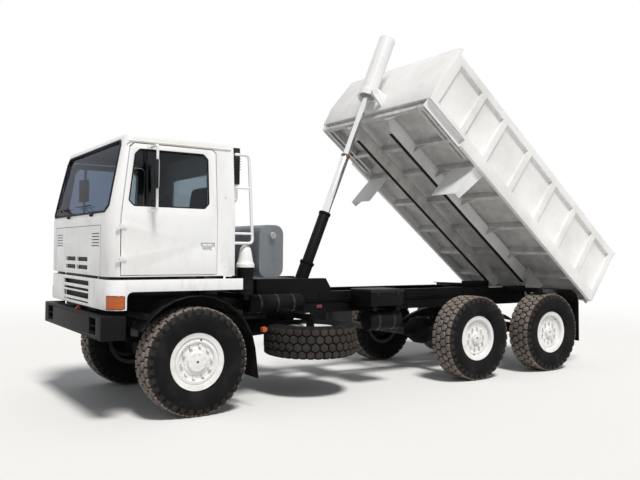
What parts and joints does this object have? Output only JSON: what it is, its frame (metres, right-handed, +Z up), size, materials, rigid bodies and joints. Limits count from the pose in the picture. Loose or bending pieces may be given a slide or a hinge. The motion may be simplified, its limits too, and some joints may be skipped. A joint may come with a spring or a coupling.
{
  "type": "dump truck",
  "caption": "Cab-over dump truck with a steel body raised on a telescopic front ram, a tilting cab, steered front wheels and a driven rear bogie.",
  "frame": {"origin": "on the ground, at the middle of the truck's length and width", "axes": "+Z up, -Y towards the truck's front, +X towards its left side"},
  "size_m": [2.81, 8.122, 4.8519],
  "materials": {
    "white_paint": "gloss",
    "black_paint": "satin",
    "grey_paint": "satin",
    "cast_metal": "matte",
    "tyre_rubber": "matte",
    "clear_glass": "gloss",
    "bright_steel": "polished",
    "seat_cloth": "matte",
    "dark_plastic": "matte"
  },
  "bodies": {
    "chassis": {"chassis_frame": "black_paint", "ram_cradle": "black_paint", "engine": "cast_metal", "transfer_box": "cast_metal", "front_bumper": "black_paint", "front_panel": "white_paint", "front_guard_left": "black_paint", "front_guard_right": "black_paint", "rear_guard_left": "black_paint", "rear_guard_right": "black_paint", "hydraulic_tank": "grey_paint", "fuel_tank": "black_paint", "front_reservoir": "black_paint", "rear_reservoir": "black_paint", "battery_box": "black_paint", "air_cleaner": "white_paint", "front_axle": "black_paint", "middle_axle": "black_paint", "rear_axle": "black_paint", "bogie_spring_left": "black_paint", "bogie_spring_right": "black_paint", "spare_tyre": "tyre_rubber", "spare_rim": "white_paint"},
    "steering_left": {"knuckle_left": "black_paint"},
    "steering_right": {"knuckle_right": "black_paint"},
    "cab": {"cab_shell": "white_paint", "windscreen": "clear_glass", "rear_window": "clear_glass", "driver_seat": "seat_cloth", "passenger_seat": "seat_cloth", "dashboard": "dark_plastic", "guard_frame": "white_paint", "intake_stack": "black_paint", "intake_duct": "white_paint"},
    "left_door": {"door_left": "white_paint", "door_glass_left": "clear_glass", "mirror_left": "dark_plastic"},
    "right_door": {"door_right": "white_paint", "door_glass_right": "clear_glass", "mirror_right": "dark_plastic"},
    "bed": {"bed_tub": "white_paint", "bed_underframe": "white_paint"},
    "gate": {"tailgate": "white_paint"},
    "ram_first": {"ram_base": "black_paint"},
    "ram_second": {"ram_stage_2": "black_paint"},
    "ram_third": {"ram_stage_3": "bright_steel"},
    "ram_last": {"ram_rod": "bright_steel"},
    "ram_sleeve": {"ram_cover": "white_paint"},
    "wheel_front_left": {"tyre_front_left": "tyre_rubber", "rim_front_left": "white_paint"},
    "wheel_front_right": {"tyre_front_right": "tyre_rubber", "rim_front_right": "white_paint"},
    "wheel_middle_left": {"tyre_middle_left": "tyre_rubber", "rim_middle_left": "white_paint"},
    "wheel_middle_right": {"tyre_middle_right": "tyre_rubber", "rim_middle_right": "white_paint"},
    "wheel_rear_left": {"tyre_rear_left": "tyre_rubber", "rim_rear_left": "white_paint"},
    "wheel_rear_right": {"tyre_rear_right": "tyre_rubber", "rim_rear_right": "white_paint"}
  },
  "joints": [
    {"name": "spin_front_left", "type": "hinge", "parent": "steering_left", "child": "wheel_front_left", "pos_m": [1.027, -3.05619, 0.57], "axis": [1, 0, 0], "continuous": true},
    {"name": "spin_front_right", "type": "hinge", "parent": "steering_right", "child": "wheel_front_right", "pos_m": [-1.027, -3.05619, 0.57], "axis": [1, 0, 0], "continuous": true},
    {"name": "spin_middle_left", "type": "hinge", "parent": "chassis", "child": "wheel_middle_left", "pos_m": [1.027, 1.04981, 0.57], "axis": [1, 0, 0], "continuous": true},
    {"name": "spin_middle_right", "type": "hinge", "parent": "chassis", "child": "wheel_middle_right", "pos_m": [-1.027, 1.04981, 0.57], "axis": [1, 0, 0], "continuous": true},
    {"name": "spin_rear_left", "type": "hinge", "parent": "chassis", "child": "wheel_rear_left", "pos_m": [1.027, 2.56981, 0.57], "axis": [1, 0, 0], "continuous": true},
    {"name": "spin_rear_right", "type": "hinge", "parent": "chassis", "child": "wheel_rear_right", "pos_m": [-1.027, 2.56981, 0.57], "axis": [1, 0, 0], "continuous": true},
    {"name": "steer_left", "type": "hinge", "parent": "chassis", "child": "steering_left", "pos_m": [0.93, -3.05619, 0.57], "axis": [0, 0, 1], "range_deg": [-30, 30]},
    {"name": "steer_right", "type": "hinge", "parent": "chassis", "child": "steering_right", "pos_m": [-0.93, -3.05619, 0.57], "axis": [0, 0, 1], "range_deg": [-30, 30]},
    {"name": "cab_tilt", "type": "hinge", "parent": "chassis", "child": "cab", "pos_m": [0, -3.96119, 1.395], "axis": [1, 0, 0], "range_deg": [0, 50]},
    {"name": "door_swing_left", "type": "hinge", "parent": "cab", "child": "left_door", "pos_m": [1.183, -3.88419, 1.46], "axis": [0, 0, -1], "range_deg": [0, 70]},
    {"name": "door_swing_right", "type": "hinge", "parent": "cab", "child": "right_door", "pos_m": [-1.183, -3.88419, 1.46], "axis": [0, 0, 1], "range_deg": [0, 70]},
    {"name": "bed_tip", "type": "hinge", "parent": "chassis", "child": "bed", "pos_m": [0, 2.88281, 1.105], "axis": [-1, 0, 0], "range_deg": [-37.6, 0]},
    {"name": "gate_swing", "type": "hinge", "parent": "bed", "child": "gate", "pos_m": [0, 4.03619, 1.73896], "axis": [1, 0, 0], "range_deg": [0, 80]},
    {"name": "ram_swing", "type": "hinge", "parent": "chassis", "child": "ram_first", "pos_m": [0, -1.16919, 1.105], "axis": [-1, 0, 0], "range_deg": [-18.7, 0.1]},
    {"name": "ram_slide_2", "type": "slide", "parent": "ram_first", "child": "ram_second", "axis": [0, 0.3843, 0.9232], "range_m": [-0.691, 0.001]},
    {"name": "ram_slide_3", "type": "slide", "parent": "ram_second", "child": "ram_third", "axis": [0, 0.3843, 0.9232], "range_m": [-0.851, 0.001]},
    {"name": "ram_slide_rod", "type": "slide", "parent": "ram_third", "child": "ram_last", "axis": [0, 0.3843, 0.9232], "range_m": [-1.036, 0.001]},
    {"name": "ram_sleeve_swing", "type": "hinge", "parent": "bed", "child": "ram_sleeve", "pos_m": [0, 0.02594, 3.97404], "axis": [-1, 0, 0], "range_deg": [-0.1, 19.1]}
  ],
  "couplings": [
    {"joint": "steer_right", "follows": "steer_left", "ratio": 1},
    {"joint": "ram_swing", "follows": "bed_tip", "ratio": 0.4947},
    {"joint": "ram_sleeve_swing", "follows": "bed_tip", "ratio": -0.5053},
    {"joint": "ram_slide_2", "follows": "bed_tip", "m_per_rad": 1.0514},
    {"joint": "ram_slide_3", "follows": "bed_tip", "m_per_rad": 1.2953},
    {"joint": "ram_slide_rod", "follows": "bed_tip", "m_per_rad": 1.5772}
  ]
}
